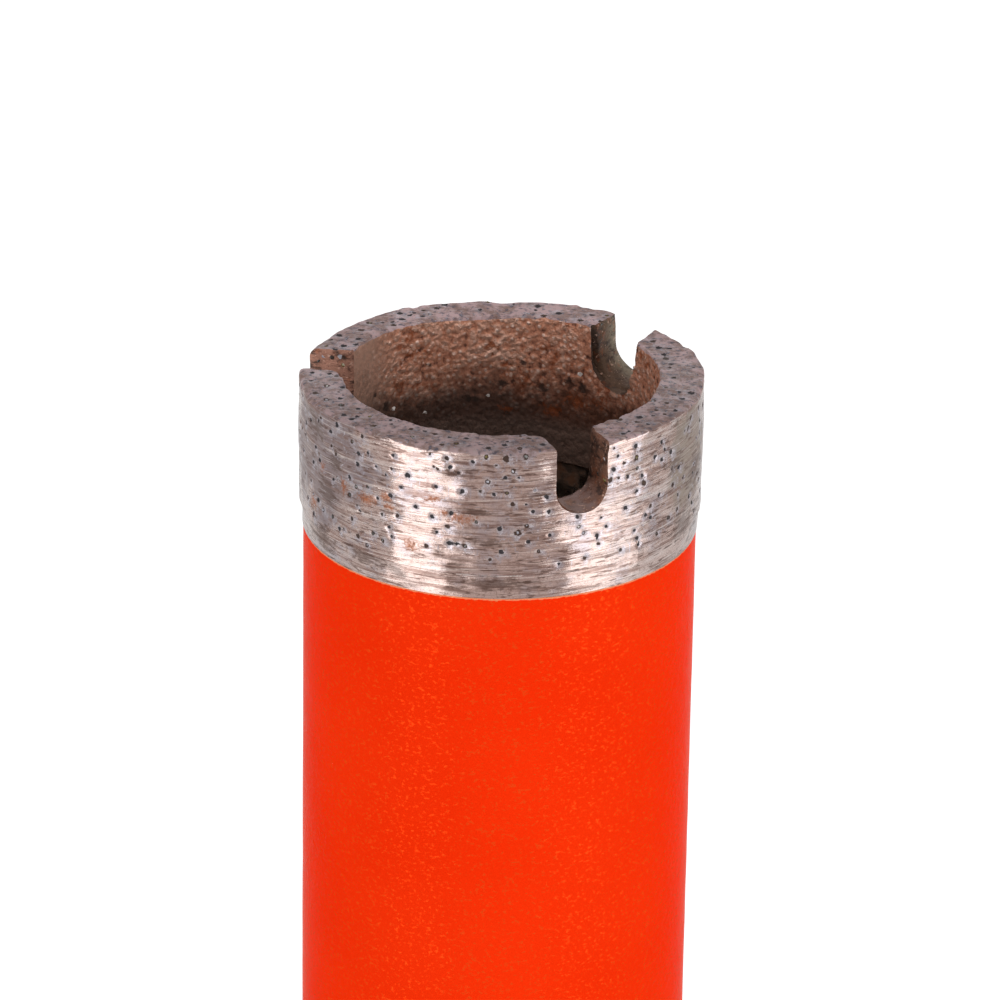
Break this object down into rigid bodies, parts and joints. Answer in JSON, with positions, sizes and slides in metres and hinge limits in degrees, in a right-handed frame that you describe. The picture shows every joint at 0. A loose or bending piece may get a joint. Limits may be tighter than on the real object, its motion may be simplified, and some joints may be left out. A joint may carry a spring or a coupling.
{
  "type": "diamond core bit",
  "caption": "Round tube drill with a slotted diamond cutting ring at one end and an internally threaded hub with spanner flats at the other.",
  "frame": {"origin": "centre of the hub's open end face, on the tool's axis", "axes": "+Z along the tool's axis towards the cutting ring; the spanner flats face +Y and -Y"},
  "size_m": [0.03, 0.03, 0.178],
  "materials": {
    "sintered_metal": "sintered and ground, set with dark diamond grains, rust in the pores",
    "barrel_paint": "satin orange-red paint with fine orange peel; bare steel inside",
    "turned_steel": "turned, with milled flats"
  },
  "bodies": {
    "root": {"crown": "sintered_metal", "barrel": "barrel_paint", "hub": "turned_steel"}
  },
  "joints": []
}
